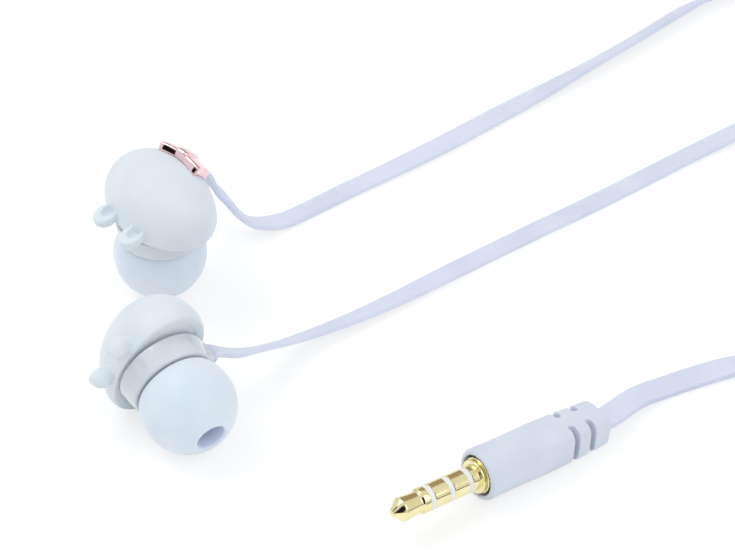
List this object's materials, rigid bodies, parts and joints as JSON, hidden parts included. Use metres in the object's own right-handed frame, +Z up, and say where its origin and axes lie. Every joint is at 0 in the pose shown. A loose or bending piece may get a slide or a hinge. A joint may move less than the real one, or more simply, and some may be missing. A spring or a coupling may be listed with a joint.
{
  "type": "wired earphones",
  "caption": "Wired in-ear earphones with novelty animal-head caps, flat cords, in-line remote, splitter and a straight four-pole plug.",
  "frame": {"origin": "bottom centre of the box round the two earbuds as they lie on the bench", "axes": "+Z up, +X towards the coiled cords, +Y from the right earbud to the left one"},
  "size_m": [0.1444, 0.1293, 0.0242],
  "materials": {
    "matte_shell": "matte",
    "gloss_shell": "gloss",
    "silicone": "matte",
    "cord": "satin",
    "rose_chrome": "mirror",
    "gold": "polished",
    "insulator": "satin",
    "steel": "satin",
    "copper": "satin",
    "film": "satin",
    "board": "satin",
    "dark_metal": "satin"
  },
  "bodies": {
    "earphones": {"left_head_cap": "matte_shell", "left_back_cover": "matte_shell", "left_bow": "rose_chrome", "left_rear_housing": "gloss_shell", "left_cord_collar": "matte_shell", "left_nozzle_mesh": "steel", "left_driver_gasket": "dark_metal", "left_diaphragm": "film", "left_voice_coil": "copper", "left_driver_frame": "dark_metal", "left_top_plate": "steel", "left_magnet": "dark_metal", "left_magnet_cup": "steel", "left_terminal_board": "board", "right_head_cap": "matte_shell", "right_back_cover": "matte_shell", "right_bow": "rose_chrome", "right_rear_housing": "gloss_shell", "right_cord_collar": "matte_shell", "right_nozzle_mesh": "steel", "right_driver_gasket": "dark_metal", "right_diaphragm": "film", "right_voice_coil": "copper", "right_driver_frame": "dark_metal", "right_top_plate": "steel", "right_magnet": "dark_metal", "right_magnet_cup": "steel", "right_terminal_board": "board", "plug_tip": "gold", "plug_ring_1": "gold", "plug_ring_2": "gold", "plug_sleeve": "gold", "plug_insulator_1": "insulator", "plug_insulator_2": "insulator", "plug_insulator_3": "insulator", "plug_grip": "matte_shell", "splitter_lower_shell": "matte_shell", "splitter_upper_shell": "matte_shell", "remote_back_shell": "matte_shell", "remote_front_shell": "matte_shell", "remote_board": "board", "remote_switch": "steel", "remote_microphone": "steel", "left_cord": "cord", "right_cord": "cord", "plug_cord": "cord", "left_coil": "cord", "right_coil": "cord", "plug_cord_coil": "cord", "left_cord_link": "cord", "right_cord_link_1": "cord", "right_cord_link_2": "cord", "plug_cord_link": "cord"},
    "left_tip": {"left_ear_tip": "silicone"},
    "right_tip": {"right_ear_tip": "silicone"},
    "button": {"remote_button": "gloss_shell"}
  },
  "joints": [
    {"name": "left_tip_pull", "type": "slide", "parent": "earphones", "child": "left_tip", "axis": [-0.051, 0.0932, -0.9943], "range_m": [0, 0.008]},
    {"name": "right_tip_pull", "type": "slide", "parent": "earphones", "child": "right_tip", "axis": [0.5342, -0.8102, -0.2411], "range_m": [0, 0.008]},
    {"name": "button_press", "type": "slide", "parent": "earphones", "child": "button", "axis": [0, 0, -1], "range_m": [0, 0.0003], "stiffness_N_per_m": 400}
  ]
}
